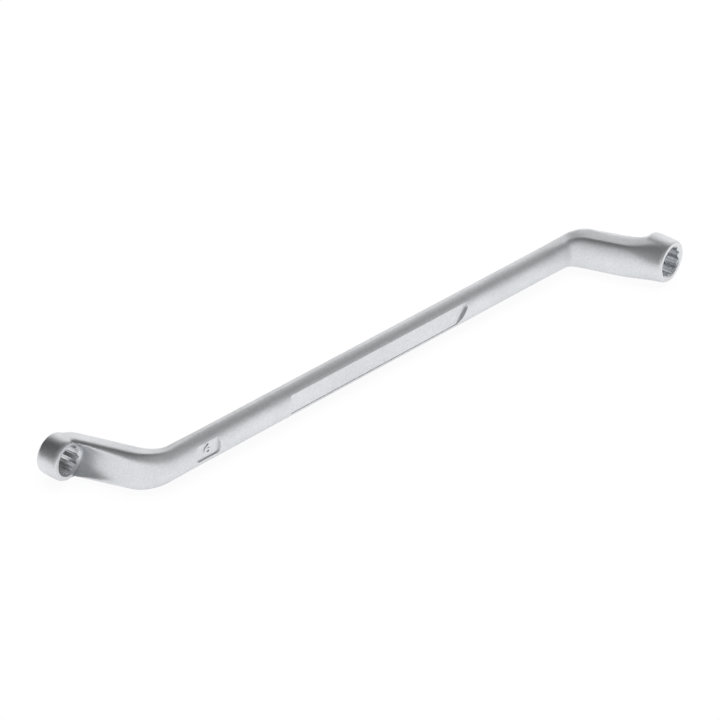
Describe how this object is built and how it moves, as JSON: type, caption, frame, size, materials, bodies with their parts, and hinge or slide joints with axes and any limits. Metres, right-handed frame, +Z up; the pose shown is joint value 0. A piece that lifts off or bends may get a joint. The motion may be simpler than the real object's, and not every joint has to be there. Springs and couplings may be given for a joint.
{
  "type": "offset ring spanner",
  "caption": "Double-ended offset ring spanner: oval shank, steeply cranked necks and closed rings with multi-point hexagon sockets facing opposite ways.",
  "frame": {"origin": "centre of the bounding box at floor height, with the spanner lying on its side", "axes": "+X from the 6 mm ring to the 7 mm ring, +Y out of the 6 mm ring's working face, +Z up"},
  "size_m": [0.173, 0.0666, 0.0119],
  "materials": {
    "satin_chrome": "satin"
  },
  "bodies": {
    "root": {"spanner_forging": "satin_chrome"}
  },
  "joints": []
}
